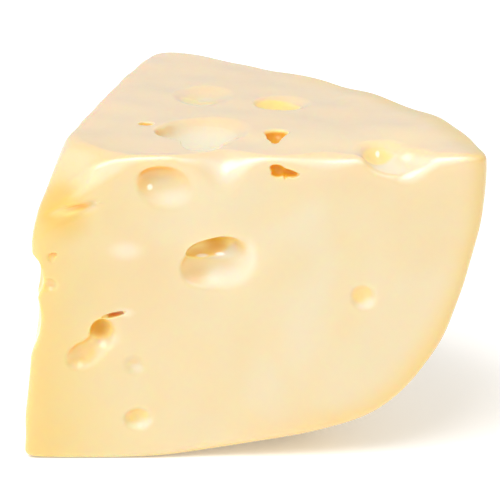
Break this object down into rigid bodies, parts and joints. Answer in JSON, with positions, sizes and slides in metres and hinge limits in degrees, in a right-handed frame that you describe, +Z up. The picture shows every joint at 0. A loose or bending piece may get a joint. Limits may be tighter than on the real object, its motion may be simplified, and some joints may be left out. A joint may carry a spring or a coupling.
{
  "type": "cheese wedge",
  "caption": "Hand-cut wedge of a domed wheel cheese with gas eyes opened by its cuts, resting on its base.",
  "frame": {"origin": "on the table, under the middle of the wedge's box", "axes": "+X along the front cut from the point to the rim, +Y back into the wedge, +Z up from the table"},
  "size_m": [0.1412, 0.1322, 0.0979],
  "materials": {
    "cheese": "smooth, moist, slightly waxy"
  },
  "bodies": {
    "root": {"wedge": "cheese"}
  },
  "joints": []
}
